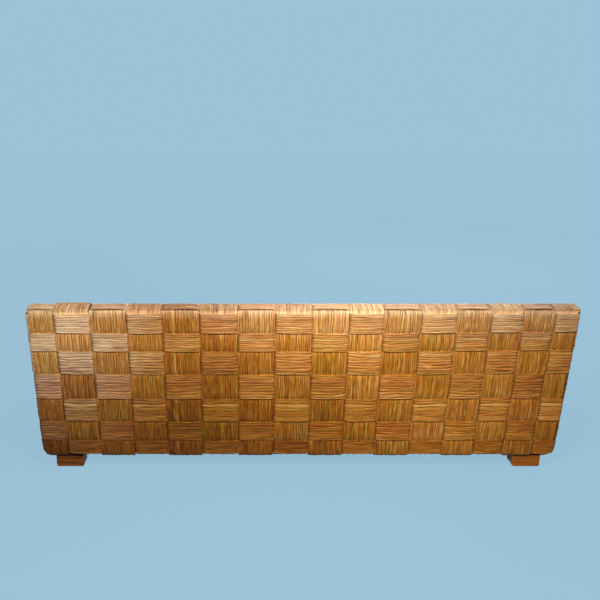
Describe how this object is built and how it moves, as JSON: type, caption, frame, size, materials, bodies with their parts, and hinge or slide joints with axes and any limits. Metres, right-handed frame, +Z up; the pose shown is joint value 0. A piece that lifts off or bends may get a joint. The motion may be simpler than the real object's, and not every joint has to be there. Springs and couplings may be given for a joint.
{
  "type": "rattan garden sofa",
  "caption": "Low garden sofa: a raked slab back and slab arms in wide rattan basket weave over a wooden frame, a slatted seat, loose box cushions and block feet.",
  "frame": {"origin": "on the floor under the middle of the sofa's bounding box", "axes": "+X along the sofa's length, to the right as seen from the front; -Y is the front, +Y the rear of the back; +Z up"},
  "size_m": [2.13, 0.773, 0.7201],
  "materials": {
    "rattan": "flat rattan strands woven into bands, clear satin lacquer",
    "frame_wood": "planed softwood, unfinished",
    "plywood": "sanded plywood",
    "foot_wood": "stained hardwood, satin",
    "zinc_steel": "zinc plated",
    "nylon": "moulded nylon",
    "canvas": "plain woven outdoor canvas over foam"
  },
  "bodies": {
    "sofa": {"back_upright_bands": "rattan", "back_cross_band_1": "rattan", "back_cross_band_2": "rattan", "back_cross_band_3": "rattan", "back_cross_band_4": "rattan", "back_cross_band_5": "rattan", "back_cross_band_6": "rattan", "back_cross_band_7": "rattan", "back_edge_band": "rattan", "back_top_rail": "frame_wood", "back_stile_left": "frame_wood", "back_stile_right": "frame_wood", "back_center_post": "frame_wood", "back_panel_rear": "plywood", "back_panel_front": "plywood", "arm_left_upright_bands": "rattan", "arm_left_cross_bands": "rattan", "arm_left_edge_band": "rattan", "arm_left_top_rail": "frame_wood", "arm_left_rear_stile": "frame_wood", "arm_left_panel_outer": "plywood", "arm_left_panel_inner": "plywood", "arm_right_upright_bands": "rattan", "arm_right_cross_bands": "rattan", "arm_right_edge_band": "rattan", "arm_right_top_rail": "frame_wood", "arm_right_rear_stile": "frame_wood", "arm_right_panel_outer": "plywood", "arm_right_panel_inner": "plywood", "front_upright_bands": "rattan", "front_cross_band_lower": "rattan", "front_cross_band_upper": "rattan", "front_edge_band": "rattan", "seat_slat_deck": "frame_wood", "seat_front_cleat": "frame_wood", "seat_rear_rail": "frame_wood", "seat_side_rail_left": "frame_wood", "seat_side_rail_right": "frame_wood", "foot_front_left": "foot_wood", "foot_front_right": "foot_wood", "foot_rear_left": "foot_wood", "foot_rear_right": "foot_wood", "foot_glide_front_left": "nylon", "foot_glide_front_right": "nylon", "foot_glide_rear_left": "nylon", "foot_glide_rear_right": "nylon", "foot_bolt_front_left": "zinc_steel", "foot_bolt_front_right": "zinc_steel", "foot_bolt_rear_left": "zinc_steel", "foot_bolt_rear_right": "zinc_steel"},
    "cushion_left": {"seat_cushion_left": "canvas"},
    "cushion_middle": {"seat_cushion_middle": "canvas"},
    "cushion_right": {"seat_cushion_right": "canvas"}
  },
  "joints": [
    {"name": "cushion_left_lift", "type": "slide", "parent": "sofa", "child": "cushion_left", "axis": [0, 0, 1], "range_m": [0, 0.46]},
    {"name": "cushion_middle_lift", "type": "slide", "parent": "sofa", "child": "cushion_middle", "axis": [0, 0, 1], "range_m": [0, 0.46]},
    {"name": "cushion_right_lift", "type": "slide", "parent": "sofa", "child": "cushion_right", "axis": [0, 0, 1], "range_m": [0, 0.46]}
  ]
}
